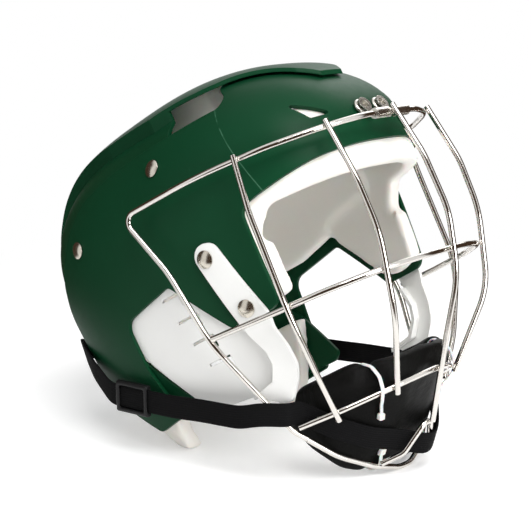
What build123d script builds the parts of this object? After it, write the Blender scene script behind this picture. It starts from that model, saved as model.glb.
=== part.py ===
from build123d import *
import math
import os

# Hurling helmet: a two-piece plastic shell with foam liner, white ear guards and
# a welded wire face guard that hinges at the brow and carries a chin pad.
# Every piece is modelled square to the wearer's head, front towards -Y and the
# wearer's left towards +X. At the end the whole helmet is leaned back, so that
# it stands on its chin pad and nape pads.

# Shell driving sizes
shell_half_width = 98
shell_front = 158
shell_rear = 136
shell_crown = 96
shell_skirt = 114
shell_depth = 190
shell_wall = 3
plan_power = 2.7
rise_power = 2.45
plan_points = 28
skirt_steps = 5
dome_turns = (0, 14, 28, 42, 55, 67, 77, 84.5)
lean_back = 30
fit_gap = 0.3
overrun = 12
shell_corner = 10

# Crown shell sizes
crown_wall = 2.5
ridge_rise = 4.4
ridge_wall = 2.4

# Ear guard sizes
ear_wall = 2.5
louvre_length = 20
louvre_height = 9.5
louvre_slit = 2
louvre_mouth = 4.2
louvre_corner = 0.9
louvre_tilt = 11

# Liner foam sizes
liner_thick = 12
liner_gap = 0.5
liner_corner = 4

# Rivet sizes
rivet_head_radius = 6
rivet_dome = 2.4
rivet_rim = 0.6
rivet_shank_radius = 2.1
rivet_foot_radius = 4.4
rivet_foot = 1
# The shells are this much thicker at their round corners than on their sides
corner_swell_share = 1.12

# Face guard driving sizes
wire = 4
weld_gap = 0.1
guard_half_width = 110
guard_reach = 170
guard_drop = 200
guard_bend = 10

# Brow bracket sizes
bracket_wire = 3
eyelet_radius = 5
eyelet_spacing = 19.6
eyelet_height = 25.1
sleeve_radius = 3.6
sleeve_half = 18.5
sleeve_gap = 0.06
screw_radius = 1.8
screw_head_radius = 2.9
screw_head = 1.6
cup_radius = 5.4
cup_thick = 0.8
nut_radius = 4
nut_thick = 2.4

# Chin pad sizes, measured down the pad, across it and out of it
pad_height = 87
pad_half_width = 63
pad_bulge = 17
pad_thick = 13
pad_lean = 45.8
pad_place_shares = (0, 0.647, -0.63)

# Strap, slider and tie sizes
strap_width = 16
strap_thick = 1.6
slider_width = 22.5
slider_length = 30
slider_thick = 5
slider_gap = 0.35
slider_place_share = 0.385
tie_width = 3.2
tie_thick = 1.2
tie_head = 5.5

# Places on the helmet, in shares of its front, rear, crown and skirt, with the
# radius of each corner beside the outline
front_shell_shares = [
    (-1.203, 0.047), (-0.886, 0.016), (-0.658, -0.048), (-0.578, -0.075), (-0.561, -0.661),
    (-0.310, -0.658), (-0.092, -0.265), (0.268, -0.332), (0.271, -0.632), (0.228, -0.912),
    (0.232, -0.982), (0.441, -1.004), (0.603, -0.789), (0.676, -0.570), (0.713, -0.307),
    (0.761, -0.070), (0.684, 0.125), (0.485, 0.417), (0.309, 0.583), (0.037, 0.646),
    (-0.639, 0.646), (-0.532, 0.833), (-0.468, 1.052), (-1.203, 1.052),
]
front_shell_radius_shares = [
    0, 6, 2, 0.9, 0.9, 0.5, 0.7, 1, 4, 2, 0.3, 0.6, 3, 4, 4, 2.5, 2.5, 4, 2.5, 5, 0.5, 3, 0, 0,
]
crown_side_shares = [
    (-0.297, 1.250), (-0.297, 0.490), (0.147, 0.479), (0.368, 0.354), (0.485, 0.208),
    (0.618, -0.018), (0.441, -0.351), (0.290, -0.580), (0.105, -0.920), (0.140, -0.965),
    (0.426, -0.965), (0.515, -0.877), (0.706, -0.632), (1.103, -0.579), (1.103, 1.250),
]
crown_side_radius_shares = [0, 0.6, 2, 1.5, 1.5, 0.8, 3, 3, 0.4, 0.5, 0.6, 1, 1, 0, 0]
ridge_plan_shares = [
    (0.120, -0.885), (0.230, -0.820), (0.330, -0.725), (0.435, -0.632), (0.540, -0.545),
    (0.600, -0.456), (0.633, -0.348), (0.673, -0.190), (0.633, 0.147), (0.531, 0.515),
    (0.449, 0.809), (0.408, 1.103),
]
crown_vent_shares = [
    [(0.191, 0.615), (0.463, 0.458), (0.434, 0.396), (0.191, 0.531)],
    [(0.713, 0.104), (0.765, -0.053), (0.757, -0.211), (0.699, -0.351), (0.676, -0.316),
     (0.728, -0.193), (0.735, -0.053), (0.684, 0.063)],
]
brow_slot_shares = [(0.582, 0.458), (0.347, 0.276), (0.510, 0.286)]
ear_strip_shares = [
    (-0.292, -0.156), (-0.412, -0.152), (-0.510, -0.671), (-0.497, -0.754), (-0.506, -0.882),
    (-0.497, -0.996), (-0.456, -1.079), (-0.367, -1.189), (-0.231, -1.061), (-0.358, -1.039),
    (-0.405, -0.950), (-0.411, -0.856), (-0.373, -0.711),
]
ear_strip_radius_shares = [0.9, 0.9, 2, 1.5, 2, 1.5, 1.5, 0.8, 0, 1.2, 1, 1, 1.5]
ear_step_shares = [
    (-0.389, -0.728), (-0.427, -0.860), (-0.421, -0.950), (-0.370, -1.053), (-0.231, -1.079),
    (-0.231, -1.057), (-0.354, -1.031), (-0.402, -0.943), (-0.408, -0.860), (-0.373, -0.728),
]
ear_plate_shares = [
    (-0.373, -0.711), (-0.411, -0.856), (-0.405, -0.950), (-0.358, -1.039), (-0.231, -1.061),
    (0.060, -1.030), (0.083, -0.940), (0.255, -0.600), (0.300, -0.480), (0.290, -0.270),
    (-0.120, -0.215), (-0.355, -0.640),
]
ear_plate_radius_shares = [1, 1, 1, 1.2, 0, 0.8, 2, 1.5, 0.8, 0.8, 1.8, 1.2]
louvre_shares = [(-0.108, -0.356), (-0.140, -0.514), (-0.165, -0.665), (-0.193, -0.817)]
crown_rivet_shares = [(-0.232, 0.483), (0.410, 0.272)]
ear_rivet_shares = [(-0.353, -0.240), (-0.429, -0.594)]
brow_pad_shares = [(-1.080, 0.417), (-1.080, -0.110), (-0.640, -0.110), (-0.560, -0.260),
                   (-0.490, -0.260), (-0.480, -0.060), (-0.520, 0.417)]
temple_pad_shares = [(-0.600, -0.290), (-0.590, -0.600), (-0.430, -0.640), (-0.345, -0.600),
                     (-0.155, -0.262), (-0.155, -0.120), (-0.470, -0.075), (-0.475, -0.290)]
side_pad_shares = [(-0.505, 0.417), (-0.466, -0.060), (-0.145, -0.106), (-0.145, -0.195),
                   (0.120, -0.262), (0.460, -0.262), (0.440, 0.610), (-0.060, 0.610),
                   (-0.160, 0.417)]
rear_pad_shares = [(0.640, 0.500), (0.640, -0.480), (1.080, -0.480), (1.080, 0.500)]
nape_pad_shares = [(0.250, -0.600), (0.330, -0.980), (0.397, -1.1798), (0.471, -1.1290),
                   (0.610, -0.800), (0.630, -0.600)]
crown_pad_shares = [(0.42, -0.44), (0.50, 0.30), (0.38, 0.52)]

# Wire routes, in shares of the guard's half width, reach and drop, from the
# wearer's side towards the middle, with the radius of each bend
frame_shares = [
    (0.640, 0.310, -0.799), (0.709, 0.300, -0.762), (0.991, 0.247, -0.400),
    (0.991, 0.182, -0.120), (1.000, 0.072, 0.115), (0.945, 0.453, 0.107),
    (0.782, 0.741, 0.090), (0.527, 0.935, 0.078), (0.265, 0.998, 0.077),
]
frame_bend_shares = [1.4, 6, 9, 0.7, 15, 6, 6, 5]
lower_loop_shares = [(0.640, 0.310, -0.800), (0.473, 0.330, -0.892), (0.250, 0.362, -0.968),
                     (0.060, 0.377, -1.003)]
lower_loop_bend_shares = [6, 4, 2.2]
eye_bar_shares = [(1.005, 0.268, -0.388), (0.936, 0.459, -0.397), (0.782, 0.729, -0.405),
                  (0.527, 0.912, -0.410), (0.200, 0.985, -0.415)]
eye_bar_bend_shares = [9, 7, 7, 6]
chin_bar_shares = [(0.6985, 0.325, -0.757), (0.564, 0.471, -0.760), (0.327, 0.633, -0.755),
                   (0.060, 0.705, -0.749)]
chin_bar_bend_shares = [4.5, 5, 5]
centre_bar_shares = [(0, 0.995, 0.095), (0, 1.034, -0.100), (0, 1.032, -0.299),
                     (0, 0.952, -0.498), (0, 0.791, -0.658), (0, 0.574, -0.889)]
centre_bar_bend_shares = [6, 6, 8, 6]
inner_bar_shares = [(0.512, 0.925, 0.094), (0.527, 0.958, -0.120), (0.517, 0.949, -0.301),
                    (0.487, 0.850, -0.552), (0.297, 0.623, -0.766)]
inner_bar_bend_shares = [7, 9, 6]
outer_bar_shares = [(0.841, 0.637, 0.108), (0.868, 0.615, -0.080), (0.872, 0.601, -0.420),
                    (0.700, 0.520, -0.640), (0.555, 0.453, -0.776)]
outer_bar_bend_shares = [12, 9, 9]
strap_loop_shares = [(0.236, 0.388, -0.969), (0.145, 0.465, -0.966), (0.032, 0.565, -0.900)]

# Chin pad cross-sections from the middle outwards: place across, place outwards,
# top and bottom, and thickness, in shares of its half width, bulge, height and thickness
pad_station_shares = [
    (0.27, 0.60, 0.05, 1.00, 1.00), (0.50, 0.36, 0.10, 1.00, 0.98),
    (0.68, -0.12, 0.20, 0.965, 0.80), (0.80, -0.60, 0.24, 0.90, 1.00),
    (0.885, -1.20, 0.33, 0.85, 0.95), (0.91, -2.00, 0.42, 0.76, 0.70),
]
pad_middle_shares = (0, 0.62, 0.02, 1.00, 1.00)
pad_round_share = 0.46
upper_tie_shares = (0.68, 0.96, -0.67, 0.17, 0.43)
lower_tie_shares = (0.48, 1.06, -0.16, 0.84, 1.018)

# Strap stations in shares of the shell's half width, its front or rear, and the
# guard's drop, each with the lean of the webbing in degrees
strap_rear_shares = [
    (0, 1.009, -0.155, 0), (0.286, 0.992, -0.155, 0), (0.430, 0.963, -0.155, 0),
    (0.571, 0.916, -0.155, 0), (0.694, 0.845, -0.160, 3), (0.800, 0.762, -0.190, 10),
    (0.905, 0.670, -0.262, 20), (0.978, 0.560, -0.375, 28), (0.995, 0.190, -0.512, 28),
    (0.985, 0.015, -0.5705, 28),
]
strap_side_shares = [(0.984, 0.012, -0.5715, 28), (0.976, -0.177, -0.650, 30),
                     (0.950, -0.256, -0.665, 30)]
strap_front_shares = [
    (0.949, -0.258, -0.665, 30), (0.938, -0.276, -0.671, 30), (0.849, -0.365, -0.709, 30),
    (0.737, -0.362, -0.708, 30), (0.612, -0.422, -0.792, 40), (0.408, -0.486, -0.875, 46),
]
strap_near_shares = [(-0.155, -0.500, -0.916, 46)]
strap_weave_shares = [(0.031, -0.542, -0.968, 46), (0.130, -0.541, -0.966, 46),
                      (0.245, -0.520, -0.939, 46)]
strap_loop_bend_shares = [1, 0.6]

lowest = -shell_skirt - 2 * overrun
outermost = shell_half_width + 2 * overrun


def dome(growth):
    """Solid helmet form, grown outwards by growth."""
    side, front = shell_half_width + growth, shell_front + growth
    rear, top, drop = shell_rear + growth, shell_crown + growth, shell_depth + growth
    levels = []
    for step in range(skirt_steps, 0, -1):
        height = lowest * step / skirt_steps
        levels.append((height, (1 - (-height / drop) ** rise_power) ** (1 / rise_power)))
    for turn in dome_turns:
        sine = math.sin(math.radians(turn)) ** (2 / rise_power)
        levels.append((top * sine, math.cos(math.radians(turn)) ** (2 / rise_power)))
    with BuildPart() as form:
        for height, spread in levels:
            points = []
            for step in range(plan_points):
                turn = 2 * math.pi * step / plan_points
                across, along = math.sin(turn), math.cos(turn)
                length = rear if along > 0 else front
                reach = (abs(across) / side) ** plan_power + (abs(along) / length) ** plan_power
                reach = spread * reach ** (-1 / plan_power)
                points.append((reach * across, reach * along))
            with BuildSketch(Plane.XY.offset(height)):
                with BuildLine():
                    Spline(*points, periodic=True)
                make_face()
        loft()
    return form.part


def side_spot(share):
    """Side-view place (y, z) of a share of the shell's front or rear and crown or skirt."""
    length = shell_rear if share[0] > 0 else shell_front
    height = shell_crown if share[1] > 0 else shell_skirt
    return (share[0] * length, share[1] * height)


def side_slab(shares, radii, start, end):
    """Slab with a rounded side-view outline between x = start and x = end."""
    with BuildPart() as slab:
        with BuildSketch(Plane(origin=(start, 0, 0), x_dir=(0, 1, 0), z_dir=(1, 0, 0))):
            with BuildLine():
                FilletPolyline(*[side_spot(share) for share in shares], radius=radii, close=True)
            make_face()
        extrude(amount=end - start)
    return slab.part


def skin(shares, radii, outer, inner, start, end):
    """Curved sheet between two dome growths, inside a side-view outline."""
    with BuildPart() as sheet:
        add(forms[outer])
        add(forms[inner], mode=Mode.SUBTRACT)
        add(side_slab(shares, radii, start, end), mode=Mode.INTERSECT)
    return sheet.part


def rounded(shares, unit):
    """Radii that follow the unit radius."""
    return [share * unit for share in shares]


def shell_point(side, y, z, growth=0):
    """Place and outward direction on the dome at side-view place (y, z)."""
    length = (shell_rear if y > 0 else shell_front) + growth
    height = shell_crown + growth if z > 0 else shell_depth + growth
    breadth = shell_half_width + growth
    level = 1 - (abs(z) / height) ** rise_power
    along = (abs(y) / length) ** plan_power
    x = breadth * (level ** (plan_power / rise_power) - along) ** (1 / plan_power)
    across = (x / breadth) ** plan_power
    plan = (across + along) ** (rise_power / plan_power - 1)
    normal = Vector(
        side * plan * across / x,
        math.copysign(plan * (abs(y) / length) ** (plan_power - 1) / length, y),
        math.copysign((abs(z) / height) ** (rise_power - 1) / height, z),
    )
    return Vector(side * x, y, z), normal.normalized()


def guard_spot(share):
    """Place in the face guard from its shares of half width, reach and drop."""
    return Vector(share[0] * guard_half_width, -share[1] * guard_reach, share[2] * guard_drop)


def proud(share):
    """Guard place moved outwards by one wire, for a wire welded outside another."""
    spot = guard_spot(share)
    outward = Vector(
        spot.X / guard_half_width ** 2, spot.Y / guard_reach ** 2, spot.Z / guard_drop ** 2
    )
    return spot + outward.normalized() * (wire + weld_gap)


def both_ways(half):
    """Whole route from one half: the wearer's left half is mirrored to the right."""
    other = [Vector(-spot.X, spot.Y, spot.Z) for spot in half]
    return half + other[::-1]


def rod(points, bends, thick):
    """Round wire along straight runs and tangent bends."""
    with BuildPart() as bent:
        with BuildLine() as path:
            FilletPolyline(*points, radius=bends)
        with BuildSketch(Plane(origin=path.line @ 0, z_dir=path.line % 0)):
            Circle(thick / 2)
        sweep()
    return bent.part


def band(stations, thick):
    """Flat webbing through its stations: each a place and a lean in degrees."""
    spots = [station[0] for station in stations]
    with BuildPart() as strip:
        for index, (spot, lean) in enumerate(stations):
            before = spots[max(index - 1, 0)]
            after = spots[min(index + 1, len(spots) - 1)]
            upward = Vector(0, -math.sin(math.radians(lean)), math.cos(math.radians(lean)))
            run_in = (spot - before).normalized() if index else Vector(0, 0, 0)
            run_out = (after - spot).normalized() if index < len(spots) - 1 else Vector(0, 0, 0)
            run = run_in + run_out
            run = (run - upward * run.dot(upward)).normalized()
            with BuildSketch(Plane(origin=spot, x_dir=upward, z_dir=run)):
                stretch = 1
                if index and index < len(spots) - 1:
                    stretch = 1 / max(0.5, math.cos(run_in.get_angle(run_out) * math.pi / 360))
                Rectangle(strap_width, thick * stretch)
        loft(ruled=True)
    return strip.part


forms = {}
for growth in (0, -shell_wall):
    forms[growth] = dome(growth)
crown_out = -shell_wall - fit_gap
crown_in = crown_out - crown_wall
liner_out = crown_in - liner_gap
liner_in = liner_out - liner_thick
front_liner_out = -shell_wall - liner_gap
front_liner_in = front_liner_out - liner_thick
ridge_out = ridge_rise
ridge_in = ridge_rise - ridge_wall
crown_pad_out = ridge_in - liner_gap
ear_out = fit_gap + ear_wall
for growth in (
    crown_out, crown_in, liner_out, liner_in, front_liner_out, front_liner_in,
    ridge_out, ridge_in, crown_pad_out, ear_out, fit_gap,
):
    forms[growth] = dome(growth)

pieces = {}


def keep(name, part):
    """Puts a finished piece on the list under its node name."""
    pieces[name] = part


# Front shell: forehead, temples, sides and nape wings in one moulding, with the
# ear openings and two slanted slots in the forehead
brow_slots = []
for side in (-1, 1):
    with BuildPart() as slot:
        with BuildSketch(Plane.XZ.offset(shell_front / 2)):
            with BuildLine():
                FilletPolyline(
                    *[(side * x * shell_half_width, z * shell_crown) for x, z in brow_slot_shares],
                    radius=shell_wall / 2, close=True,
                )
            make_face()
        extrude(amount=shell_front)
    brow_slots.append(slot.part)

crown_rivets = []
ear_rivets = []
for side in (-1, 1):
    for y, z in [side_spot(share) for share in crown_rivet_shares]:
        crown_rivets.append(shell_point(side, y, z))
    for y, z in [side_spot(share) for share in ear_rivet_shares]:
        ear_rivets.append(shell_point(side, y, z))

rivet_holes = []
for spot, outward in crown_rivets + ear_rivets:
    with BuildPart() as hole:
        with BuildSketch(Plane(origin=spot, z_dir=outward)):
            Circle(rivet_shank_radius + fit_gap)
        extrude(amount=overrun, both=True)
    rivet_holes.append(hole.part)

eyelets = []
screw_holes = []
for side in (-1, 1):
    x = side * eyelet_spacing / 2
    level = (1 - (eyelet_height / shell_crown) ** rise_power) ** (plan_power / rise_power)
    y = -shell_front * (level - (abs(x) / shell_half_width) ** plan_power) ** (1 / plan_power)
    outward = Vector(
        math.copysign((abs(x) / shell_half_width) ** (plan_power - 1) / shell_half_width, x),
        -((-y / shell_front) ** (plan_power - 1)) / shell_front,
        (eyelet_height / shell_crown) ** (rise_power - 1) / shell_crown,
    ).normalized()
    eyelets.append(Plane(origin=Vector(x, y, eyelet_height), x_dir=(1, 0, 0), z_dir=outward))
    with BuildPart() as hole:
        with BuildSketch(eyelets[-1]):
            Circle(screw_radius + fit_gap)
        extrude(amount=overrun, both=True)
    screw_holes.append(hole.part)

with BuildPart() as front_shell:
    add(skin(front_shell_shares, rounded(front_shell_radius_shares, shell_corner),
             0, -shell_wall, -outermost, outermost))
    for cutter in brow_slots + rivet_holes + screw_holes:
        add(cutter, mode=Mode.SUBTRACT)
keep("front_shell", front_shell.part)


# Crown shell: one moulding with a raised ridge from the forehead to the nape,
# whose flange lies inside the front shell
def ridge_column(inset, start, end):
    """Upright block inside the ridge's plan outline, between two places along y."""
    half = []
    for x, y in ridge_plan_shares:
        length = shell_rear if y > 0 else shell_front
        half.append((x * shell_half_width, y * length))
    whole = half + [(-x, y) for x, y in half[::-1]]
    with BuildPart() as column:
        with BuildSketch():
            with BuildLine():
                Polyline(*whole, close=True)
            make_face()
            if inset:
                offset(amount=-inset, kind=Kind.INTERSECTION, mode=Mode.REPLACE)
        extrude(amount=shell_crown + overrun)
        with BuildSketch():
            with Locations((0, (start + end) / 2)):
                Rectangle(2 * shell_half_width, end - start)
        extrude(amount=shell_crown + overrun, mode=Mode.INTERSECT)
    return column.part


flange_front = crown_side_shares[0][0] * shell_front
ridge_tip = ridge_plan_shares[0][1] * shell_front - overrun
ridge_end = ridge_plan_shares[-1][1] * shell_rear + overrun

with BuildPart() as ridge_body:
    add(forms[ridge_out])
    add(ridge_column(0, flange_front, ridge_end), mode=Mode.INTERSECT)

with BuildPart() as ridge_hollow:
    add(forms[ridge_in])
    add(ridge_column(ridge_wall, ridge_tip, ridge_end), mode=Mode.INTERSECT)

with BuildPart() as ridge_tongue:
    add(forms[ridge_out])
    add(ridge_column(0, ridge_tip, flange_front + ridge_wall), mode=Mode.INTERSECT)
    add(forms[ridge_in], mode=Mode.SUBTRACT)

with BuildPart() as rear_shell:
    add(forms[crown_out])
    add(ridge_body.part)
    add(forms[crown_in], mode=Mode.SUBTRACT)
    add(side_slab(crown_side_shares, rounded(crown_side_radius_shares, shell_corner),
                  -outermost, outermost), mode=Mode.INTERSECT)
    add(ridge_hollow.part, mode=Mode.SUBTRACT)
    add(ridge_tongue.part)
    for vent in crown_vent_shares:
        add(side_slab(vent, 0, -outermost, outermost), mode=Mode.SUBTRACT)
    for cutter in rivet_holes:
        add(cutter, mode=Mode.SUBTRACT)
keep("rear_shell", rear_shell.part)


# Ear guards: a riveted strip and flange outside the shell. On the wearer's right it
# steps in to a plate with four louvres that closes the ear opening; the left is open
def ear_guard(side):
    start, end = (-outermost, 0) if side < 0 else (0, outermost)
    strip = skin(ear_strip_shares, rounded(ear_strip_radius_shares, shell_corner),
                 ear_out, fit_gap, start, end)
    step = skin(ear_step_shares, 0, ear_out, crown_in, start, end)
    with BuildPart() as guard:
        add(strip)
        add(step)
        if side < 0:
            add(skin(ear_plate_shares, rounded(ear_plate_radius_shares, shell_corner),
                     crown_out, crown_in, start, end))
            for y, z in [side_spot(share) for share in louvre_shares]:
                louvre = Plane(origin=(start, y, z), x_dir=(0, 1, 0), z_dir=(1, 0, 0))
                with BuildSketch(louvre.rotated((0, 0, louvre_tilt))):
                    with BuildLine():
                        FilletPolyline(
                            (louvre_length / 2, louvre_height / 2),
                            (-louvre_length / 2, louvre_height / 2),
                            (-louvre_length / 2, -louvre_height / 2),
                            (louvre_mouth - louvre_length / 2, -louvre_height / 2),
                            (louvre_mouth - louvre_length / 2, louvre_height / 2 - louvre_slit),
                            (louvre_length / 2, louvre_height / 2 - louvre_slit),
                            radius=louvre_corner, close=True,
                        )
                    make_face()
                extrude(amount=outermost, mode=Mode.SUBTRACT)
        for cutter in rivet_holes:
            add(cutter, mode=Mode.SUBTRACT)
    return guard.part


for side, hand in ((-1, "right"), (1, "left")):
    keep("ear_guard_" + hand, ear_guard(side))

# Domed rivets through both shells, and through the shell and the ear guards
rivet_cap = rivet_dome - rivet_rim
dome_radius = (rivet_head_radius ** 2 + rivet_cap ** 2) / (2 * rivet_cap)


def rivets(places, seat, grip):
    """Rivets with their heads seated on the dome growth and a foot below the grip."""
    with BuildPart() as rivet:
        with BuildSketch(Plane.XZ):
            with BuildLine():
                Polyline(
                    (0, rivet_dome), (0, -grip - rivet_foot),
                    (rivet_foot_radius, -grip - rivet_foot), (rivet_foot_radius, -grip),
                    (rivet_shank_radius, -grip), (rivet_shank_radius, 0),
                    (rivet_head_radius, 0), (rivet_head_radius, rivet_rim),
                )
                RadiusArc((rivet_head_radius, rivet_rim), (0, rivet_dome), -dome_radius)
            make_face()
        revolve(axis=Axis.Z)
    with BuildPart() as group:
        for spot, outward in places:
            seated = Plane(origin=spot + outward * (seat + fit_gap), z_dir=outward)
            add(rivet.part.moved(seated.location))
    return group.part


shell_grip = (shell_wall + fit_gap + crown_wall) * corner_swell_share + 2 * fit_gap
ear_grip = ear_out + shell_wall + 2 * fit_gap
keep("shell_rivets", rivets(crown_rivets, 0, shell_grip))
keep("ear_guard_rivets", rivets(ear_rivets, ear_out, ear_grip))


# Liner foam: brow, temple, side, rear, crown and nape pads inside the shells, with
# rooms for the feet of the rivets and the nuts behind them
rivet_rooms = []
for spot, outward in crown_rivets + ear_rivets:
    with BuildPart() as room:
        with BuildSketch(Plane(origin=spot, z_dir=outward)):
            Circle(rivet_foot_radius + 2 * fit_gap)
        extrude(amount=-(shell_grip + 4 * rivet_foot))
    rivet_rooms.append(room.part)
for eyelet in eyelets:
    with BuildPart() as room:
        with BuildSketch(eyelet):
            Circle(nut_radius + 2 * fit_gap)
        extrude(amount=-(shell_wall + 2 * nut_thick))
    rivet_rooms.append(room.part)


def pad(name, shares, radius, outer, inner, start, end):
    """Foam pad with rooms for the feet of the rivets behind it."""
    with BuildPart() as cushion:
        add(skin(shares, radius, outer, inner, start, end))
        for cutter in rivet_rooms:
            add(cutter, mode=Mode.SUBTRACT)
    keep(name, cushion.part)


pad("brow_pad", brow_pad_shares, liner_corner, front_liner_out, front_liner_in,
    -outermost, outermost)
pad("rear_pad", rear_pad_shares, liner_corner, liner_out, liner_in, -outermost, outermost)
for side, hand in ((-1, "right"), (1, "left")):
    start, end = (-outermost, 0) if side < 0 else (0, outermost)
    pad("temple_pad_" + hand, temple_pad_shares, liner_corner / 2, front_liner_out, front_liner_in,
        start, end)
    pad("side_pad_" + hand, side_pad_shares, liner_corner, liner_out, liner_in, start, end)
    pad("nape_pad_" + hand, nape_pad_shares, liner_corner / 2, liner_out, liner_in, start, end)

with BuildPart() as crown_pad:
    with BuildSketch():
        with BuildLine():
            half = []
            for x, y in crown_pad_shares:
                length = shell_rear if y > 0 else shell_front
                half.append((x * shell_half_width, y * length))
            FilletPolyline(*half, *[(-x, y) for x, y in half[::-1]],
                           radius=shell_corner, close=True)
        make_face()
    extrude(amount=shell_crown + overrun)
    add(forms[crown_pad_out], mode=Mode.INTERSECT)
    add(forms[liner_in], mode=Mode.SUBTRACT)
keep("crown_pad", crown_pad.part)

# Face guard: round wires, the uprights welded outside the cross bars
frame_half = [guard_spot(share) for share in frame_shares]
frame_bends = rounded(frame_bend_shares, guard_bend)
keep("guard_frame", rod(both_ways(frame_half), frame_bends + frame_bends[::-1], wire))

loop_half = [guard_spot(share) for share in lower_loop_shares]
loop_bends = rounded(lower_loop_bend_shares, guard_bend)
keep("guard_lower_loop", rod(both_ways(loop_half), loop_bends + loop_bends[::-1], wire))

eye_half = [guard_spot(share) for share in eye_bar_shares]
eye_bends = rounded(eye_bar_bend_shares, guard_bend)
keep("guard_eye_bar", rod(both_ways(eye_half), eye_bends + eye_bends[::-1], wire))

chin_half = [guard_spot(share) for share in chin_bar_shares]
chin_bends = rounded(chin_bar_bend_shares, guard_bend)
keep("guard_chin_bar", rod(both_ways(chin_half), chin_bends + chin_bends[::-1], wire))

strap_half = [guard_spot(share) for share in strap_loop_shares]
strap_bends = rounded(strap_loop_bend_shares, guard_bend)
keep("guard_strap_loop", rod(both_ways(strap_half), strap_bends + strap_bends[::-1], wire))

centre_route = [proud(share) for share in centre_bar_shares]
keep("guard_centre_bar", rod(centre_route, rounded(centre_bar_bend_shares, guard_bend), wire))
for side, hand in ((-1, "right"), (1, "left")):
    inner_route = [proud((side * x, y, z)) for x, y, z in inner_bar_shares]
    keep("guard_inner_bar_" + hand,
         rod(inner_route, rounded(inner_bar_bend_shares, guard_bend), wire))
    outer_route = [proud((side * x, y, z)) for x, y, z in outer_bar_shares]
    keep("guard_outer_bar_" + hand,
         rod(outer_route, rounded(outer_bar_bend_shares, guard_bend), wire))

# Brow brackets: an eyelet screwed to the forehead and a stem down to a sleeve, in
# which the guard's brow wire turns. The two sleeves leave the centre bar between
hinge = guard_spot((0, frame_shares[-1][1], frame_shares[-1][2]))
sleeve_start = wire / 2 + 2 * fit_gap
for side, hand in ((-1, "right"), (1, "left")):
    eyelet = eyelets[0] if side < 0 else eyelets[1]
    middle = eyelet.origin + eyelet.z_dir * (bracket_wire / 2 + fit_gap)
    foot = Vector(eyelet.origin.X, hinge.Y, hinge.Z)
    top = middle - eyelet.y_dir * eyelet_radius
    reach = (foot - top).normalized()
    with BuildPart() as bracket:
        with BuildSketch(Plane(origin=middle + eyelet.x_dir * eyelet_radius,
                               x_dir=eyelet.x_dir, z_dir=-eyelet.y_dir)):
            Circle(bracket_wire / 2)
        revolve(axis=Axis(middle, eyelet.z_dir))
        with BuildSketch(Plane(origin=top, z_dir=reach)):
            Circle(bracket_wire / 2)
        extrude(amount=(foot - top).length - wire / 2 - sleeve_gap)
        with BuildSketch(Plane(origin=hinge, z_dir=(side, 0, 0)).offset(sleeve_start)):
            Circle(sleeve_radius)
        extrude(amount=sleeve_half - sleeve_start)
        with BuildSketch(Plane(origin=hinge, z_dir=(side, 0, 0))):
            Circle(wire / 2 + sleeve_gap)
        extrude(amount=sleeve_half + overrun, mode=Mode.SUBTRACT)
    keep("brow_bracket_" + hand, bracket.part)

cup_top = bracket_wire + 2 * cup_thick + fit_gap
cup_floor = fit_gap + cup_thick
with BuildPart() as cup:
    with BuildSketch(Plane.XZ):
        with BuildLine():
            Polyline(
                (screw_radius + sleeve_gap, cup_floor), (screw_radius + sleeve_gap, fit_gap),
                (screw_head_radius - cup_thick / 2, fit_gap),
                (eyelet_radius - cup_thick - fit_gap, cup_top), (cup_radius, cup_top),
                (cup_radius, cup_top + cup_thick),
                (eyelet_radius - 2 * cup_thick - fit_gap, cup_top + cup_thick),
                (screw_head_radius - cup_thick + sleeve_gap, cup_floor),
                close=True,
            )
        make_face()
    revolve(axis=Axis.Z)

head_seat = cup_floor + weld_gap
nut_seat = -shell_wall - fit_gap
with BuildPart() as screw:
    with BuildSketch(Plane.XY.offset(head_seat)):
        Circle(screw_head_radius - cup_thick)
    extrude(amount=screw_head)
    with BuildSketch(Plane.XY.offset(head_seat)):
        Circle(screw_radius)
    extrude(amount=nut_seat - nut_thick - head_seat)

with BuildPart() as nut:
    with BuildSketch(Plane.XY.offset(nut_seat)):
        RegularPolygon(nut_radius, 6)
        Circle(screw_radius + sleeve_gap, mode=Mode.SUBTRACT)
    extrude(amount=-nut_thick)

for name, piece in (("bracket_cups", cup), ("bracket_screws", screw), ("bracket_nuts", nut)):
    with BuildPart() as group:
        for eyelet in eyelets:
            add(piece.part.moved(eyelet.location))
    keep(name, group.part)

# Chin pad: a padded cup behind the lower wires, pinched where the ties cross it
down = Vector(0, math.sin(math.radians(pad_lean)), -math.cos(math.radians(pad_lean)))
pad_plane = Plane(origin=guard_spot(pad_place_shares), x_dir=(1, 0, 0), z_dir=down)
pad_out = pad_plane.y_dir


def tie_loop(shares, side, grow):
    """Flat tie round a wire and the pad, in the plane across the pad at its share."""
    across, front_share, back_share, top_share, low_share = shares
    x = side * across * pad_half_width
    near, far = front_share * pad_bulge, back_share * pad_bulge
    top, low = top_share * pad_height, low_share * pad_height
    centre = pad_plane.origin + pad_out * (near + far) / 2 + down * (top + low) / 2
    with BuildPart() as loop:
        with BuildSketch(Plane(origin=centre + Vector(x, 0, 0), x_dir=pad_out, z_dir=(1, 0, 0))):
            RectangleRounded(near - far + grow, low - top + grow, tie_width + grow / 2)
            RectangleRounded(near - far - 2 * tie_thick - grow, low - top - 2 * tie_thick - grow,
                             tie_width - tie_thick - grow / 2, mode=Mode.SUBTRACT)
        extrude(amount=tie_width / 2 + grow, both=True)
    return loop.part


upper_wrap = [tie_loop(upper_tie_shares, side, 2 * fit_gap) for side in (-1, 1)]
lower_wrap = [tie_loop(lower_tie_shares, side, 2 * fit_gap) for side in (-1, 1)]

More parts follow.
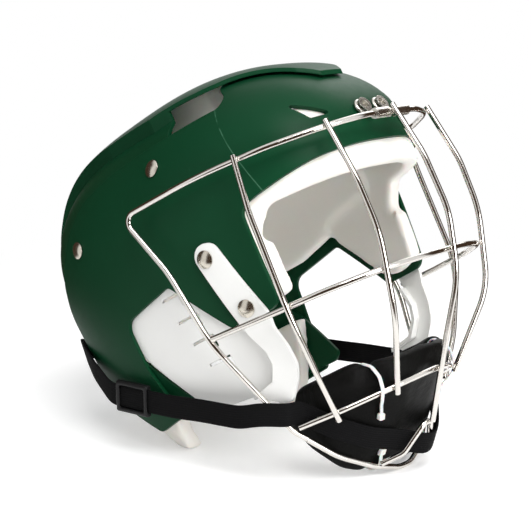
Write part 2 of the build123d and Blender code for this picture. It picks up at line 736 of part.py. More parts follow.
pad_half = []
for across, out, top, low, thick in pad_station_shares:
    pad_half.append((across * pad_half_width, out * pad_bulge, top, low, thick))
pad_line = [(-x, out, top, low, thick) for x, out, top, low, thick in pad_half[::-1]]
pad_line.append((0, pad_middle_shares[1] * pad_bulge) + pad_middle_shares[2:])
pad_line += pad_half
with BuildPart() as chin_pad:
    for index, (x, out, top, low, thick) in enumerate(pad_line):
        before = pad_line[max(index - 1, 0)]
        after = pad_line[min(index + 1, len(pad_line) - 1)]
        run = Vector(after[0] - before[0], 0, 0) + pad_out * (after[1] - before[1])
        spot = pad_plane.origin + Vector(x, 0, 0) + pad_out * out
        spot += down * (top + low) * pad_height / 2
        with BuildSketch(Plane(origin=spot, x_dir=down, z_dir=run)):
            RectangleRounded((low - top) * pad_height, thick * pad_thick,
                             pad_round_share * thick * pad_thick)
    loft()
    add(rod(both_ways(loop_half), loop_bends + loop_bends[::-1], wire + 2 * fit_gap),
        mode=Mode.SUBTRACT)
    for wrap in upper_wrap + lower_wrap:
        add(wrap, mode=Mode.SUBTRACT)
keep("chin_pad", chin_pad.part)

for label, shares in (("upper_tie_", upper_tie_shares), ("lower_tie_", lower_tie_shares)):
    for side, hand in ((-1, "right"), (1, "left")):
        x = side * shares[0] * pad_half_width
        lock = shares[4] if label == "upper_tie_" else shares[3]
        turn = 1 if label == "upper_tie_" else -1
        spot = pad_plane.origin + pad_out * (shares[1] * pad_bulge + tie_thick)
        spot += down * (lock * pad_height - turn * tie_head) + Vector(x, 0, 0)
        with BuildPart() as tie:
            add(tie_loop(shares, side, 0))
            with BuildSketch(Plane(origin=spot, x_dir=(1, 0, 0), z_dir=pad_out)):
                RectangleRounded(tie_head, tie_head, tie_thick)
            extrude(amount=-2 * tie_thick)
        keep(label + hand, tie.part)


# Strap: webbing round the back of the shell, forward under the ears and across the
# front of the chin pad, behind one leg of the wire loop and over the other
def stations(shares, side=1):
    """Places and leans of strap stations, on the wearer's left or right."""
    places = []
    for x, y, z, lean in shares:
        length = shell_rear if y > 0 else shell_front
        spot = Vector(side * x * shell_half_width, y * length, z * guard_drop)
        places.append((spot, lean))
    return places


rear_half = stations(strap_rear_shares)
keep("strap_rear", band(stations(strap_rear_shares[1:], -1)[::-1] + rear_half, strap_thick))
for side, hand in ((-1, "right"), (1, "left")):
    keep("strap_side_" + hand, band(stations(strap_side_shares, side), strap_thick))
front_route = stations(strap_front_shares, -1) + stations(strap_near_shares)
front_route += stations(strap_weave_shares) + stations(strap_front_shares)[::-1]
keep("strap_front", band(front_route, strap_thick))

# Slider: a flat buckle with the webbing run through it, on the wearer's right
run_start, run_lean = stations(strap_rear_shares, -1)[7]
run_end = stations(strap_rear_shares, -1)[8][0]
along = (run_end - run_start).normalized()
upward = Vector(0, -math.sin(math.radians(run_lean)), math.cos(math.radians(run_lean)))
slider_spot = run_start + (run_end - run_start) * slider_place_share
slider_plane = Plane(origin=slider_spot, x_dir=upward, z_dir=along)
with BuildPart() as slider:
    with BuildSketch(slider_plane):
        RectangleRounded(slider_width, slider_thick, slider_thick / 3)
    extrude(amount=slider_length / 2, both=True)
    with BuildSketch(slider_plane):
        Rectangle(strap_width + 2 * slider_gap, strap_thick + 2 * slider_gap)
    extrude(amount=slider_length, both=True, mode=Mode.SUBTRACT)
    with BuildSketch(Plane(origin=slider_plane.origin, x_dir=along, z_dir=(-1, 0, 0))):
        Rectangle(slider_length - 4 * slider_gap - slider_thick, strap_width)
    extrude(amount=slider_thick, mode=Mode.SUBTRACT)
keep("strap_slider", slider.part)
slide = along.rotate(Axis.X, -lean_back)
print("slide axis:", [round(value, 4) for value in slide])

# Standing pose: the helmet is leaned back and set down on its lowest points
os.makedirs("parts", exist_ok=True)
boxes = {}
for name, part in pieces.items():
    part = part.rotate(Axis.X, -lean_back)
    pieces[name] = part
    boxes[name] = part.bounding_box()
front = min(box.min.Y for box in boxes.values())
rear = max(box.max.Y for box in boxes.values())
floor = min(box.min.Z for box in boxes.values())
for name, part in pieces.items():
    placed = part.moved(Location((0, -(front + rear) / 2, -floor)))
    placed.label = name
    export_step(placed, "parts/" + name + ".step")
print("front, rear, floor:", round(front, 2), round(rear, 2), round(floor, 2))
pivot = hinge.rotate(Axis.X, -lean_back) + Vector(0, -(front + rear) / 2, -floor)
print("brow hinge:", [round(value, 2) for value in pivot])
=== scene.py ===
"""Hurling helmet: two moulded shells, foam liner, wire face guard, chin pad and strap."""

import math

import bmesh
import bpy
import numpy as np
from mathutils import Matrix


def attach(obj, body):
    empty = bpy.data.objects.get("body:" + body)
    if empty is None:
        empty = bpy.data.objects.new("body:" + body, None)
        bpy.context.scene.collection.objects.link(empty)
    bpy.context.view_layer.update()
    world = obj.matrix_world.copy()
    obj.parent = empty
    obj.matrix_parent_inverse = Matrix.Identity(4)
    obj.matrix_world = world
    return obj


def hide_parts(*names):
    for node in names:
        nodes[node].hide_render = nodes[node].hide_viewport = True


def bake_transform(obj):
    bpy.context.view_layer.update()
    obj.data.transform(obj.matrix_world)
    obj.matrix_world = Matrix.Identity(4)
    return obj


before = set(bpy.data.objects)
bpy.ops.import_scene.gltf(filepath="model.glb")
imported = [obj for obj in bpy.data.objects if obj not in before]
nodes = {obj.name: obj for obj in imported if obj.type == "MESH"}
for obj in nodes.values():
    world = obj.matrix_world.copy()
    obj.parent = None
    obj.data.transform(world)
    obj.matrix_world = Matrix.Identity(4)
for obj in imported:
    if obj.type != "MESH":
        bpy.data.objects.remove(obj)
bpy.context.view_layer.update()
scene = bpy.context.scene

# Viewpoint: a long lens a metre away, a little above the helmet, in front of its
# right side. It stands first, because the lights are set round what it sees.
view_turn, view_drop = 51.21, 11.256
lens = bpy.data.cameras.new("viewpoint")
lens.sensor_width = 36
lens.lens = 101.7
viewpoint = bpy.data.objects.new("viewpoint", lens)
viewpoint.location = (-0.8219, -0.66573, 0.33508)
viewpoint.rotation_euler = (math.radians(90 - view_drop), 0, math.radians(-view_turn))
scene.collection.objects.link(viewpoint)
scene.camera = viewpoint
scene.view_settings.view_transform = "Standard"


# Front shell: forehead, temples and sides in one injection moulding of green
# polypropylene, satin from the tool, with fine scuffs where it is handled.
class Signal:
    """A value inside a finish. Sums and products written on it add Math nodes."""

    def __init__(self, finish, socket):
        self.finish, self.socket = finish, socket

    def maths(self, operation, other=0.0):
        return self.finish.node("Math", {"operation": operation}, {0: self, 1: other})

    def __add__(self, other):
        return self.maths("ADD", other)

    def __mul__(self, other):
        return self.maths("MULTIPLY", other)

    __radd__, __rmul__ = __add__, __mul__

    def step(self, low, high):
        """Smooth ramp from 0 at low to 1 at high."""
        return self.finish.node("MapRange", {"interpolation_type": "SMOOTHSTEP"},
                                {"Value": self, "From Min": low, "From Max": high})

    def wave(self, pitch):
        """Sine of the value, one turn each pitch."""
        return (self * (2 * math.pi / pitch)).maths("SINE")


class Finish:
    """A node material: node() adds a node, and cover() closes it with its surface."""

    def __init__(self, name, kind=bpy.data.materials):
        self.material = kind.new(name)
        self.material.use_nodes = True
        self.tree = self.material.node_tree
        self.tree.nodes.clear()
        self.place = self.node("TexCoord", output="Object")

    def node(self, kind, settings=None, sockets=None, output=0):
        made = self.tree.nodes.new("ShaderNode" + kind)
        for key, value in (settings or {}).items():
            setattr(made, key, value)
        for key, value in (sockets or {}).items():
            if isinstance(value, Signal):
                self.tree.links.new(value.socket, made.inputs[key])
            else:
                made.inputs[key].default_value = value
        return Signal(self, made.outputs[output]) if made.outputs else None

    def noise(self, scale, detail=2.0, rough=0.5, at=None):
        return self.node("TexNoise", None, {"Vector": at or self.place, "Scale": scale,
                                            "Detail": detail, "Roughness": rough})

    def cells(self, scale, feature="F1"):
        return self.node("TexVoronoi", {"feature": feature},
                         {"Vector": self.place, "Scale": scale}, "Distance")

    def part(self, axis, of=None):
        """One coordinate of the place, in metres."""
        return self.node("SeparateXYZ", None, {0: of or self.place}, axis)

    def colour(self, first, second, amount):
        ends = [value if isinstance(value, Signal) else (*value, 1) for value in (first, second)]
        return self.node("Mix", {"data_type": "RGBA"}, {0: amount, 6: ends[0], 7: ends[1]}, 2)

    def bump(self, height, depth, strength=1.0, over=None):
        sockets = {"Height": height, "Distance": depth, "Strength": strength}
        if over is not None:
            sockets["Normal"] = over
        return self.node("Bump", None, sockets)

    def soft_edge(self, radius):
        return self.node("Bevel", {"samples": 6}, {"Radius": radius})

    def cover(self, base, roughness, normal=None, **fixed):
        sockets = {"Base Color": base if isinstance(base, Signal) else (*base, 1),
                   "Roughness": roughness}
        for key, value in fixed.items():
            sockets[key.replace("_", " ").title().replace("Ior", "IOR")] = value
        if normal is not None:
            sockets["Normal"] = normal
        surface = self.node("BsdfPrincipled", None, sockets)
        self.node("OutputMaterial", None, {"Surface": surface})
        return self.material


def moulded_green(name, parting):
    """Satin green; parting is the plane (across y, across z, offset) of a fine mould line."""
    finish = Finish(name)
    cloud = finish.noise(9, 3, 0.6)
    scuffs = finish.noise(60, 4, 0.7, finish.node(
        "Mapping", None, {"Vector": finish.place, "Scale": (1, 6, 2), "Rotation": (0.5, 0.2, 0.4)}))
    lines = scuffs.step(0.66, 0.74)
    base = finish.colour((0.0024, 0.036, 0.0132), (0.0040, 0.048, 0.0190), cloud)
    base = finish.colour(base, (0.03, 0.11, 0.06), lines * 0.22)
    rough = finish.noise(240, 3) * 0.10 + 0.36 + lines * 0.12
    skin = finish.bump(finish.noise(1500, 2), 0.00004, 1.0, finish.soft_edge(0.0009))
    waves = finish.bump(cloud, 0.0006, 0.35, skin)
    if parting:
        off = finish.part("Y") * parting[0] + finish.part("Z") * parting[1] + parting[2]
        seam = off.maths("ABSOLUTE").step(0.0006, 0.0001) * finish.noise(90, 2).step(0.35, 0.5)
        base = finish.colour(base, (0.07, 0.20, 0.12), seam * 0.5)
        waves = finish.bump(seam, 0.0002, 0.8, waves)
    return finish.cover(base, rough, waves, specular_ior_level=0.09)


def dress(names, material):
    """Puts one material on CAD nodes whose shape is already right."""
    for name in names:
        nodes[name].data.materials.clear()
        nodes[name].data.materials.append(material)


dress(["front_shell"], moulded_green("green_front", (0.7175, -0.7572, 0.1969)))

# Crown and nape shell: the second moulding of the same plastic, riveted inside the
# first, with a raised ridge along the crown and long air slots beside it.
dress(["rear_shell"], moulded_green("green_crown", None))


# Ear guards: stiff white plastic riveted over the cheeks of the front shell, the right
# one with a louvred plate to hear through, slightly cloudy and faintly marked by handling.
def moulded_white():
    finish = Finish("white_plastic")
    cloud = finish.noise(14, 3, 0.6)
    base = finish.colour((0.84, 0.835, 0.81), (0.89, 0.89, 0.875), cloud)
    rough = finish.noise(180, 3) * 0.14 + 0.34
    skin = finish.bump(finish.noise(900, 2), 0.00004, 1.0, finish.soft_edge(0.0009))
    return finish.cover(base, rough, finish.bump(cloud, 0.0005, 0.3, skin))


dress(["ear_guard_right", "ear_guard_left"], moulded_white())


# Rivets: domed steel with a warm satin nickel plate, closed from inside the shells.
def nickel(name, base, other, rough):
    finish = Finish(name)
    patch = finish.noise(160, 4, 0.6)
    scratch = finish.noise(90, 3, 0.7, finish.node(
        "Mapping", None, {"Vector": finish.place, "Scale": (1, 1, 14)}))
    tone = finish.colour(base, other, patch)
    level = scratch * 0.16 + patch * 0.10 + rough
    bumps = finish.bump(scratch, 0.00003, 0.8, finish.soft_edge(0.0002))
    return finish.cover(tone, level, bumps, metallic=1.0)


dress(["shell_rivets", "ear_guard_rivets"],
      nickel("rivet_nickel", (0.55, 0.51, 0.44), (0.68, 0.64, 0.56), 0.10))


# Liner foam: pads cut from soft closed-cell sheet and hot formed to the shells, so
# their edges are rounded and the surface has fine pores.
def closed_cell():
    finish = Finish("closed_cell_foam")
    cloud = finish.noise(11, 3, 0.6)
    pores = finish.cells(1300)
    base = finish.colour((0.90, 0.865, 0.80), (0.93, 0.905, 0.86), cloud)
    base = finish.colour(base, (0.74, 0.72, 0.66), pores.step(0.35, 0.05) * 0.25)
    rough = cloud * 0.10 + 0.58
    skin = finish.bump(pores, 0.00010, 0.7)
    dents = finish.bump(finish.noise(28, 2), 0.0012, 0.4, skin)
    return finish.cover(base, rough, dents, subsurface_weight=0.15, subsurface_scale=0.004)


def finished(shape, name):
    """The object's shape with its modifiers worked in, as a new smooth mesh object."""
    bpy.context.view_layer.update()
    mesh = bpy.data.meshes.new_from_object(shape.evaluated_get(
        bpy.context.evaluated_depsgraph_get()))
    bpy.data.objects.remove(shape)
    mesh.name = name
    made = bpy.data.objects.new(name, mesh)
    scene.collection.objects.link(made)
    mesh.shade_smooth()
    return made


def hot_formed(names, name, voxel, rounds, close=0.0):
    """The plain pads as one shape, resampled in even cells, its gaps up to twice close
    filled by growing it and drawing it back, and its corners eased away."""
    merged = bmesh.new()
    for node in names:
        merged.from_mesh(nodes[node].data)
    mesh = bpy.data.meshes.new(name + "_plain")
    merged.to_mesh(mesh)
    merged.free()
    shape = bpy.data.objects.new(name + "_plain", mesh)
    scene.collection.objects.link(shape)
    weld = shape.modifiers.new("weld", "WELD")
    weld.merge_threshold = 0.00002
    for grow in (close, -close) if close else (0,):
        cells = shape.modifiers.new("cells", "REMESH")
        cells.mode = "VOXEL"
        cells.voxel_size = voxel
        swell = shape.modifiers.new("swell", "DISPLACE")
        swell.mid_level = 0
        swell.strength = grow
    cells = shape.modifiers.new("cells", "REMESH")
    cells.mode = "VOXEL"
    cells.voxel_size = voxel
    ease = shape.modifiers.new("ease", "SMOOTH")
    ease.factor = 0.5
    ease.iterations = rounds
    return finished(shape, name)


foam = closed_cell()
for name, group, close in (
        ("foam_liner", ["brow_pad", "temple_pad_right", "temple_pad_left",
                        "side_pad_right", "side_pad_left"], 0.0026),
        ("foam_rear", ["rear_pad"], 0), ("foam_crown", ["crown_pad"], 0),
        ("foam_nape_right", ["nape_pad_right"], 0), ("foam_nape_left", ["nape_pad_left"], 0)):
    pad = hot_formed(group, name, 0.002, 8, close)
    pad.data.materials.clear()
    pad.data.materials.append(foam)
    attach(pad, "helmet")
    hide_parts(*group)

# Brow brackets: nickel-plated wire eyelets, dished cups and pan screws that hold the
# brow wire of the face guard in two sleeves under the forehead.
bracket_nickel = nickel("bracket_nickel", (0.60, 0.58, 0.53), (0.72, 0.70, 0.65), 0.12)
dress(["brow_bracket_right", "brow_bracket_left", "bracket_cups", "bracket_screws",
       "bracket_nuts"], bracket_nickel)

# Face guard wires: 4 mm stainless rod, bent, resistance welded where rods cross and
# electropolished, so it mirrors its surroundings with faint drawing marks.
polished = nickel("polished_stainless", (0.66, 0.63, 0.59), (0.74, 0.715, 0.68), 0.0)
wires = ["guard_frame", "guard_lower_loop", "guard_eye_bar", "guard_chin_bar",
         "guard_strap_loop", "guard_centre_bar", "guard_inner_bar_right",
         "guard_inner_bar_left", "guard_outer_bar_right", "guard_outer_bar_left"]
dress(wires, polished)


# Chin pad: a sewn black leather cup with a soft filling. Its cover is creased and drawn
# in at the ties, and the pad is thickest along its upper roll.
lean_back = math.radians(30)
stand_back, stand_up = 28.67, 143.68


def stand(points):
    """Places given square to the head, in millimetres, leaned back to how it stands."""
    points = np.asarray(points, float)
    x, y, z = points[..., 0], points[..., 1], points[..., 2]
    back = y * math.cos(lean_back) + z * math.sin(lean_back) + stand_back
    up = -y * math.sin(lean_back) + z * math.cos(lean_back) + stand_up
    return np.stack([x, back, up], -1) / 1000


def lengths(points):
    """Distance along a run of points, from 0 at the first."""
    return np.concatenate([[0], np.cumsum(np.linalg.norm(np.diff(points, axis=0), axis=1))])


def oblong(count, wide_round, flat_round):
    """Super-ellipse of half size 1 in both ways, squarer as the two shares fall."""
    turn = np.arange(count) / count * 2 * math.pi
    return (np.sign(np.cos(turn)) * np.abs(np.cos(turn)) ** wide_round,
            np.sign(np.sin(turn)) * np.abs(np.sin(turn)) ** flat_round)


def sleeve(name, rings, along, about, endless=False):
    """Closed surface over rings of points (n, m, 3): endless, or each end shut on its
    middle point. The map is the way along the rings by the way about each ring."""
    n, m = rings.shape[:2]
    points = rings.reshape(-1, 3)
    i, j = np.meshgrid(np.arange(n if endless else n - 1), np.arange(m), indexing="ij")
    k, after = (j + 1) % m, (i + 1) % n
    faces = np.stack([i * m + j, i * m + k, after * m + k, after * m + j], -1)
    faces = faces.reshape(-1, 4).tolist()
    spots = np.stack([np.stack([along[i], about[j]], -1), np.stack([along[i], about[j + 1]], -1),
                      np.stack([along[i + 1], about[j + 1]], -1),
                      np.stack([along[i + 1], about[j]], -1)], -2).reshape(-1, 2)
    if not endless:
        around = np.arange(m)
        ends = np.stack([(around + 1) % m, around, np.full(m, n * m)], -1)
        others = np.stack([(n - 1) * m + around, (n - 1) * m + (around + 1) % m,
                           np.full(m, n * m + 1)], -1)
        faces += ends.tolist() + others.tolist()
        points = np.concatenate([points, rings[0].mean(0)[None], rings[-1].mean(0)[None]])
        caps = np.concatenate([np.stack([np.full(m, end), about[:m]], -1)
                               for end in (along[0], along[-1])])
        spots = np.concatenate([spots, np.repeat(caps, 3, 0)])
    mesh = bpy.data.meshes.new(name)
    mesh.from_pydata(points.tolist(), [], faces)
    mesh.uv_layers.new(name="map").data.foreach_set("uv", spots.astype(np.float32).ravel())
    mesh.shade_smooth()
    made = bpy.data.objects.new(name, mesh)
    scene.collection.objects.link(made)
    return made


# Pad coordinates run out through its face and down along it, in millimetres. A station
# is (aside, out, top edge, low edge, thickness), from the pad's middle to its end.
pad_origin = np.array([0.0, -109.99, -126.0])
pad_down = np.array([0.0, 0.7169, -0.6972])
pad_out = np.array([0.0, -0.6972, -0.7169])
pad_stations = np.array([
    (0, 10.54, -1.5, 87.0, 13.0), (17.0, 10.2, 0.5, 87.0, 13.0), (31.5, 6.1, 3.5, 88.0, 12.7),
    (42.8, -2.04, 7.5, 87.0, 10.8), (50.4, -10.2, 11.5, 81.5, 13.0),
    (55.8, -20.4, 22.0, 77.0, 12.3), (57.3, -34.0, 35.5, 70.0, 9.1),
    (58.2, -39.5, 42.0, 68.0, 8.0),
])


def leather():
    finish = Finish("black_leather")
    cloud = finish.noise(40, 3, 0.6)
    grain = finish.cells(620, "DISTANCE_TO_EDGE")
    creases = finish.noise(55, 3, 0.65, finish.node(
        "Mapping", None, {"Vector": finish.place, "Scale": (1, 3.2, 1.4)}))
    base = finish.colour((0.0025, 0.0025, 0.0023), (0.0055, 0.0055, 0.0052), cloud)
    rough = cloud * 0.16 + 0.38
    skin = finish.bump(grain.step(0.0, 0.12), 0.00006, 0.6)
    folds = finish.bump(creases, 0.0016, 0.55, skin)
    return finish.cover(base, rough, folds, specular_ior_level=0.06)


def bells(x, at, reach):
    """Bell curves of height 1 on both sides of the middle."""
    return sum(np.exp(-((x - side * at) / reach) ** 2) for side in (-1, 1))[:, None]


def chin_cup():
    """Oblong sections along the pad's stations: each is a super-ellipse across the
    thickness and down the height, drawn in by a bell curve at each tie."""
    count, around = 161, 96
    upper_tie_at, lower_tie_at = 43.2, 26.5
    upper_dent, lower_dent = 3.0, 2.5
    fold_depth, fold_count, fold_waver = 0.35, 11, 2.4
    end_share = 0.035
    share = np.linspace(-1, 1, count)
    stations = np.concatenate([pad_stations[:0:-1] * [-1, 1, 1, 1, 1], pad_stations])
    reach = lengths(stations[:, :2])
    reach = reach / reach[-1] * 2 - 1
    x, out, top, low, thick = [np.interp(share, reach, stations[:, k]) for k in range(5)]
    ease = np.ones(9) / 9
    x, out, top, low, thick = [
        np.convolve(np.pad(value, 4, mode="reflect", reflect_type="odd"), ease, "valid")
        for value in (x, out, top, low, thick)]
    down, across = oblong(around, 0.42, 0.75)
    close = np.clip((1 - np.abs(share)) / end_share, 0, 1)
    close = np.sqrt(1 - (1 - close) ** 2)[:, None]
    pinch = bells(x, upper_tie_at, 3.2)
    low_pinch = bells(x, lower_tie_at, 3.5)
    upper = np.clip(-down[None], 0, 1) ** 2
    lower = np.clip(down[None], 0, 1) ** 4
    half = (low - top)[:, None] / 2 * (0.8 + 0.2 * close)
    middle = (low + top)[:, None] / 2
    fat = thick[:, None] / 2 * (0.15 + 0.85 * close)
    roll = 1 + 0.30 * np.exp(-((down[None] + 0.72) / 0.22) ** 2) - 0.10 * np.clip(down[None], 0, 1)
    fat = fat * roll * (1 - 0.30 * pinch * upper) * (1 - 0.25 * low_pinch * lower)
    depth = middle + half * down[None] + pinch * upper * upper_dent - low_pinch * lower * lower_dent
    phase = down[None] * fold_count + fold_waver * np.sin(x[:, None] * 0.12)
    folds = np.sin(phase) * np.clip(-down[None], 0, 1)
    fat = fat + fold_depth * folds * close
    run = np.gradient(np.stack([x, out], -1), axis=0)
    run = run / np.linalg.norm(run, axis=1)[:, None]
    # Each section stands square to the pad's run: its thickness points along the
    # normal of the run in the plane across the pad.
    normal = np.stack([-run[:, 1], run[:, 0]], -1)
    swing = across[None] * fat
    points = (pad_origin
              + (x[:, None] + normal[:, :1] * swing)[..., None] * np.array([1.0, 0, 0])
              + (out[:, None] + normal[:, 1:] * swing)[..., None] * pad_out
              + depth[..., None] * pad_down)
    return sleeve("chin_cup", stand(points), share, np.arange(around + 1) / around)


chin = chin_cup()
chin.data.materials.append(leather())
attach(chin, "face_guard")
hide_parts("chin_pad")


# Nylon ties: narrow translucent bands with small square locks, pulled tight round
# the pad and the wires above and below, their ends drawn into the leather.
def nylon():
    finish = Finish("clear_nylon")
    cloud = finish.noise(120, 2)
    base = finish.colour((0.68, 0.69, 0.68), (0.84, 0.85, 0.84), cloud)
    teeth = finish.part("Z").wave(0.0009)
    return finish.cover(base, cloud * 0.15 + 0.25, finish.bump(teeth, 0.00005, 0.4),
                        subsurface_weight=0.3, subsurface_scale=0.002)


def eased(stations, pitch, reach, endless=False):
    """Stations resampled at even steps, each then the mean of its neighbours within
    reach, taken twice, so that the run turns its corners softly."""
    table = np.array(stations, float)
    if endless:
        table = np.concatenate([table, table[:1]])
    along = lengths(table[:, :3])
    at = np.linspace(0, along[-1], int(along[-1] // pitch), endpoint=not endless)
    run = np.stack([np.interp(at, along, column) for column in table.T], -1)
    span = np.ones(2 * reach + 1) / (2 * reach + 1)
    for turn in range(2):
        wide = np.pad(run, ((reach, reach), (0, 0)), mode="wrap" if endless else "edge")
        run = np.stack([np.convolve(column, span, "valid") for column in wide.T], -1)
    return run


def cable_tie(name, side, route):
    """Band along a route of (out of the pad, down it, away from the middle), whose
    section widens to the square lock near its end."""
    pitch = 0.4
    band_half, band_flat, lock_grow, lock_length = 1.6, 0.55, 1.25, 5.9
    run = eased(route, pitch, 3)
    ahead = np.gradient(run[:, :2], axis=0)
    ahead /= np.linalg.norm(ahead, axis=1)[:, None]
    left = np.arange(len(run))[::-1] * pitch
    lock = np.clip((lock_length - left) / 0.8, 0, 1) * np.clip((left + 0.5) / 0.9, 0, 1)
    wide, flat = oblong(20, 0.4, 0.4)
    across = (band_half + lock_grow * lock)[:, None] * wide[None]
    proud = (band_flat + lock_grow * lock)[:, None] * flat[None]
    out = run[:, :1] + ahead[:, 1:] * proud
    down = run[:, 1:2] - ahead[:, :1] * proud
    points = (pad_origin + (side * run[:, 2:] + across)[..., None] * np.array([1.0, 0, 0])
              + out[..., None] * pad_out + down[..., None] * pad_down)
    return sleeve(name, stand(points), np.arange(len(run)) * pitch / 1000, np.arange(21) / 20)


upper_route = [(-5, 22, 43), (-9.5, 16.5, 43), (-7, 11.0, 43), (1, 9.4, 43), (9, 13.0, 43.3),
               (14.2, 19.5, 43.8), (15.4, 25, 43.5), (14.6, 30, 41), (13.4, 34, 38.5),
               (13.1, 38, 36), (12.9, 45.5, 33.5)]
lower_route = [(3, 79, 28), (1, 83, 27.5), (3.5, 86, 27), (9, 86.8, 26), (14, 85.2, 25.5),
               (16.4, 82, 25), (16.2, 78, 24.5), (15, 74.5, 24), (14.4, 68.5, 23)]
clear = nylon()
for hand, side in (("right", -1), ("left", 1)):
    for level, route in (("upper", upper_route), ("lower", lower_route)):
        tie = cable_tie(level + "_band_" + hand, side, route)
        tie.data.materials.append(clear)
        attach(tie, "face_guard")
        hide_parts(level + "_tie_" + hand)


# Strap: one loop of 16 mm black polyester webbing, woven with a fine rib, round the back
# of the shell, forward under the ears and across the front of the chin pad.
def webbing_cloth():
    finish = Finish("black_webbing")
    spot = finish.node("UVMap", {"uv_map": "map"})
    along, across = finish.part("X", spot), finish.part("Y", spot)
    ribs = across.wave(0.0016)
    picks = (along + ribs * 0.0003).wave(0.0012)
    weave = ribs * 0.25 + picks * 0.25 + 0.5
    fuzz = finish.noise(900, 2)
    base = finish.colour((0.002, 0.002, 0.0022), (0.009, 0.009, 0.0095), weave * 0.7 + fuzz * 0.3)
    return finish.cover(base, fuzz * 0.2 + 0.62, finish.bump(weave, 0.00022, 0.9),
                        specular_ior_level=0.05)


def webbing(name, stations, thick=1.5, width=16.0):
    """Oblong section with rounded selvedges, carried round the loop through its
    stations; at each the webbing leans about the line across the helmet."""
    run = eased(stations, 1.5, 3, endless=True)
    spots, lean = run[:, :3], np.radians(run[:, 3])
    upward = np.stack([np.zeros(len(run)), -np.sin(lean), np.cos(lean)], -1)
    ahead = np.roll(spots, -1, axis=0) - np.roll(spots, 1, axis=0)
    ahead -= upward * (ahead * upward).sum(1)[:, None]
    ahead /= np.linalg.norm(ahead, axis=1)[:, None]
    aside = np.cross(ahead, upward)
    wide, flat = oblong(28, 0.28, 0.6)
    wide, flat = wide * width / 2, flat * thick / 2
    rings = (spots[:, None] + upward[:, None] * wide[None, :, None]
             + aside[:, None] * flat[None, :, None])
    along = lengths(np.concatenate([spots, spots[:1]])) / 1000
    edge = np.stack([np.append(wide, wide[0]), np.append(flat, flat[0])], -1)
    about = lengths(edge) / 1000
    return sleeve(name, stand(rings), along, about, endless=True)


shell_half, shell_rear, shell_front, guard_drop = 98, 136, 158, 200


def placed(shares, side=1):
    """Stations from shares of the shell's half width, rear or front, and guard drop."""
    return [(side * x * shell_half, y * (shell_rear if y > 0 else shell_front), z * guard_drop, lean)
            for x, y, z, lean in shares]


side_shares = [
    (0.286, 0.992, -0.155, 0), (0.430, 0.963, -0.155, 0), (0.571, 0.916, -0.155, 0),
    (0.694, 0.845, -0.160, 3), (0.800, 0.762, -0.190, 10), (0.905, 0.670, -0.262, 20),
    (0.978, 0.560, -0.375, 28), (0.995, 0.190, -0.512, 28), (0.985, 0.0135, -0.571, 28),
    (0.976, -0.177, -0.650, 30), (0.949, -0.257, -0.665, 30), (0.938, -0.276, -0.671, 30),
    (0.849, -0.365, -0.709, 30), (0.737, -0.362, -0.708, 30), (0.612, -0.422, -0.792, 40),
    (0.408, -0.486, -0.875, 46),
]
weave_shares = [(0.245, -0.520, -0.939, 46), (0.130, -0.541, -0.966, 46),
                (0.031, -0.542, -0.968, 46), (-0.155, -0.500, -0.916, 46)]
strap = webbing("webbing_strap", placed([(0, 1.009, -0.155, 0)] + side_shares + weave_shares)
                + placed(side_shares, -1)[::-1])
strap.data.materials.append(webbing_cloth())
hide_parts("strap_rear", "strap_side_right", "strap_side_left", "strap_front")
# Points on the loop behind the ears and before the cheeks, and the strap's placing worked into its
# mesh
hold = stand([(0, 1.8, -114.2), (0, -40.6, -133.0)])
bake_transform(strap)


# Slider: a black acetal buckle on the right side, moulded with rounded edges, that
# takes up the strap.
def acetal():
    finish = Finish("black_acetal")
    cloud = finish.noise(70, 3)
    base = finish.colour((0.004, 0.004, 0.0045), (0.008, 0.008, 0.0085), cloud)
    return finish.cover(base, cloud * 0.2 + 0.30, finish.bump(
        finish.noise(1400, 2), 0.00004, 1.0, finish.soft_edge(0.0008)), specular_ior_level=0.22)


buckle = hot_formed(["strap_slider"], "acetal_slider", 0.0005, 8)
buckle.data.materials.clear()
buckle.data.materials.append(acetal())
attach(buckle, "strap_slider")
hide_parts("strap_slider")


# Studio: a pale floor that runs out into white, one broad soft light high on the right, a
# low one before the face, and dark screens all round that only show in gloss and metal.
screen_tone = (0.060, 0.036, 0.022)
screen_count, screen_start = 3, 7.38


def screens_by(finish, way):
    """1 where a way from the middle meets one of three dark screens, 0 in the gaps."""
    turn = finish.part("Y", way).maths("ARCTAN2", finish.part("X", way))
    return (turn * screen_count + screen_start).maths("COSINE").step(-0.70, -0.30)


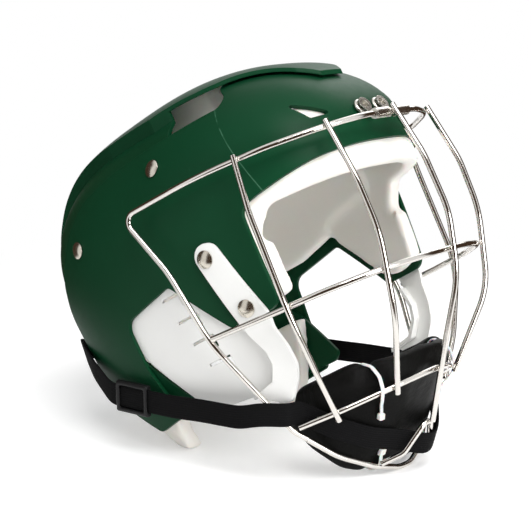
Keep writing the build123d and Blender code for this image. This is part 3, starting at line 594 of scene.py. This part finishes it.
def studio_floor():
    finish = Finish("studio_floor")
    seen = finish.node("LightPath", output="Is Camera Ray")
    far = finish.node("VectorMath", {"operation": "LENGTH"}, {0: finish.place}, "Value")
    surface = finish.node("BsdfPrincipled", None, {"Base Color": (0.88, 0.88, 0.88, 1),
                                                   "Roughness": 0.6})
    glow = finish.node("Emission", None, {"Color": (1, 1, 1, 1), "Strength": 0.30})
    lit = finish.node("AddShader", None, {0: surface, 1: glow})
    white = finish.node("Emission", None, {"Color": (1, 1, 1, 1), "Strength": 1.0})
    out = finish.node("MixShader", None, {0: far.step(0.25, 0.75), 1: lit, 2: white})
    shade = finish.node("Emission", None, {"Color": (*screen_tone, 1), "Strength": 1.0})
    screens = screens_by(finish, finish.place) * far.step(0.28, 0.40)
    gloss = finish.node("MixShader", None, {0: screens, 1: out, 2: shade})
    matt = finish.node("MixShader", None, {0: finish.node("LightPath", output="Is Glossy Ray"),
                                           1: surface, 2: gloss})
    mixed = finish.node("MixShader", None, {0: seen, 1: matt, 2: out})
    finish.node("OutputMaterial", None, {"Surface": mixed})
    return finish.material


floor_mesh = bpy.data.meshes.new("studio_floor")
floor_mesh.from_pydata([(-6, -6, 0), (6, -6, 0), (6, 6, 0), (-6, 6, 0)], [], [(0, 1, 2, 3)])
floor = bpy.data.objects.new("studio_floor", floor_mesh)
scene.collection.objects.link(floor)
floor_mesh.materials.append(studio_floor())


def surround():
    """White for the camera, plain fill for matt surfaces, and for gloss a ring of three
    dark screens up to the ceiling light, with light between them."""
    air = Finish("surround", bpy.data.worlds)
    way = air.node("TexCoord", output="Generated")
    height = air.part("Z", way)
    dark = screens_by(air, way) * height.step(0.85, 0.60)
    fill = air.node("Background", None, {"Color": (1, 1, 1, 1), "Strength": 0.45})
    white = air.node("Background", None, {"Color": (1, 1, 1, 1), "Strength": 1.0})
    shade = air.node("Background", None, {"Color": (*screen_tone, 1), "Strength": 1.0})
    gloss = air.node("MixShader", None, {0: dark, 1: white, 2: shade})
    clear_way = (air.node("LightPath", output="Is Camera Ray")
                 + air.node("LightPath", output="Is Transmission Ray")).maths("MINIMUM", 1.0)
    lit = air.node("MixShader", None, {0: air.node("LightPath", output="Is Glossy Ray"),
                                       1: fill, 2: gloss})
    air.node("OutputWorld", None, {"Surface": air.node("MixShader", None,
                                                       {0: clear_way, 1: lit, 2: white})})
    return air.material


scene.world = surround()

lit_middle = np.array([0, 0, 0.13])
for name, spot, size, power in (("key", (-0.6, -0.8, 1.6), 1.0, 24), ("rim", (1.2, 0.3, 1.2), 0.9, 6),
                                ("low_front", (-0.35, -1.5, 0.2), 0.8, 17)):
    lamp = bpy.data.lights.new(name, "AREA")
    lamp.size = size
    lamp.energy = power
    light = bpy.data.objects.new(name, lamp)
    light.location = spot
    aim = lit_middle - np.array(spot)
    flat = math.hypot(aim[0], aim[1])
    light.rotation_euler = (math.atan2(flat, -aim[2]), 0, math.atan2(-aim[0], aim[1]))
    scene.collection.objects.link(light)
